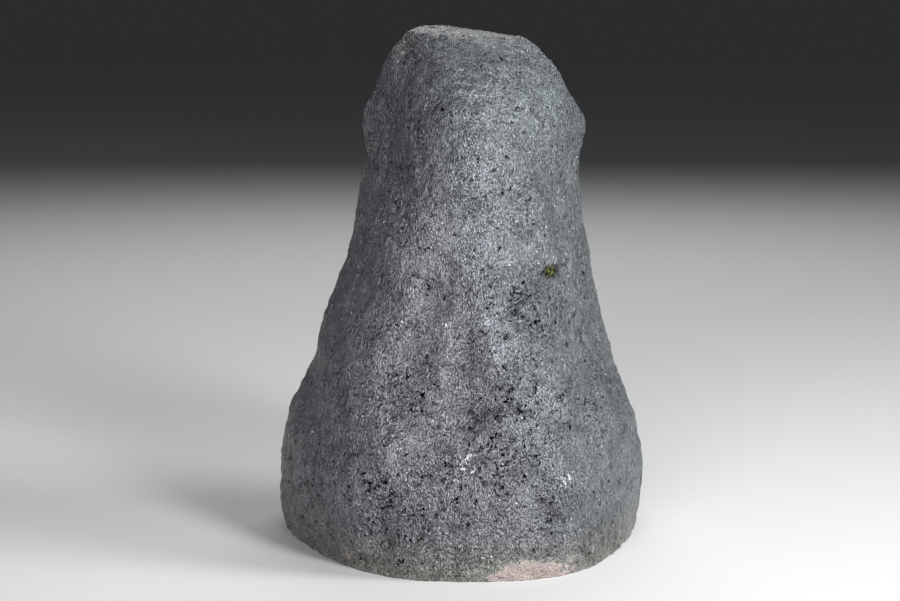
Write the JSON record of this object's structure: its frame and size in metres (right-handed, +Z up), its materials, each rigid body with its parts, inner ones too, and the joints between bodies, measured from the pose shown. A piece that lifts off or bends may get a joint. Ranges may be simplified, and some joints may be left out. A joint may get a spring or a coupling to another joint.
{
  "type": "amethyst geode",
  "caption": "Free-standing cathedral geode: a dark, rough-backed rock cut flat at the base and front, its tall hollow lined with amethyst crystals.",
  "frame": {"origin": "middle of the sawn base, under the middle of the bounding box", "axes": "+Z up, +Y out of the sawn front that shows the crystals, -Y the rounded back, +X to the left of someone facing the crystals"},
  "size_m": [0.1584, 0.1224, 0.2152],
  "materials": {
    "rock": "rough basalt with a dark grey satin coat, pitted and brushed, bare at one spot of the foot, sawn and smooth at the front",
    "amethyst": "glassy natural faces on see-through purple quartz, paler towards the rock"
  },
  "bodies": {
    "root": {"rock": "rock", "amethyst_crust": "amethyst"}
  },
  "joints": []
}
